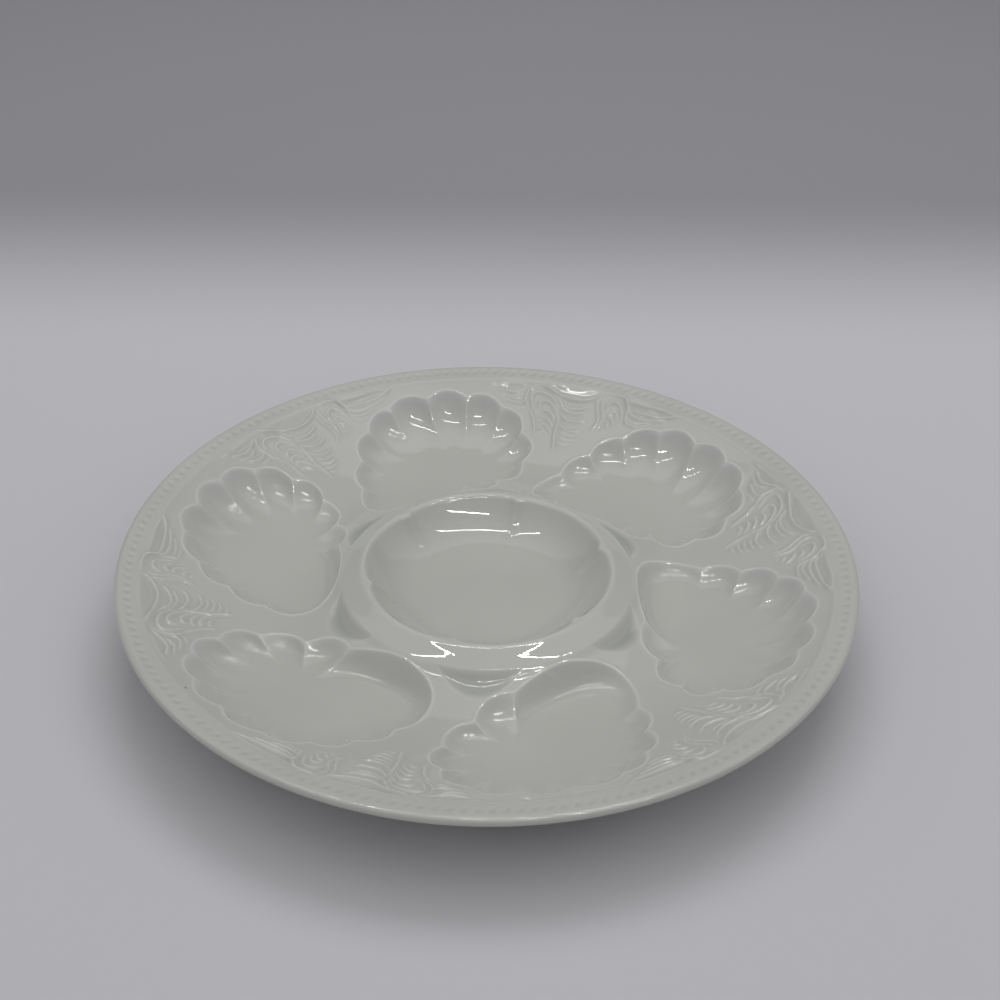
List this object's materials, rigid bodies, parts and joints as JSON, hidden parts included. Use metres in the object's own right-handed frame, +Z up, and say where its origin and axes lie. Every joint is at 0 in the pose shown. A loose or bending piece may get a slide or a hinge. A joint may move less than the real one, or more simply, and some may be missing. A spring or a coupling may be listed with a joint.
{
  "type": "oyster plate",
  "caption": "Round glazed white porcelain oyster plate with fluted shell-shaped wells round a collared sauce well, on a bare ground foot ring.",
  "frame": {"origin": "middle of the plate, in the plane of the table that its foot ring stands on", "axes": "+Z up out of the plate; +X and +Y lie in the table, with the shell wells at 45 degrees from +X and every 60 degrees from there"},
  "size_m": [0.25, 0.25, 0.029],
  "materials": {
    "glazed_porcelain": "glossy white glaze",
    "biscuit_porcelain": "ground and unglazed"
  },
  "bodies": {
    "root": {"plate_body": "glazed_porcelain", "foot_ring": "biscuit_porcelain"}
  },
  "joints": []
}
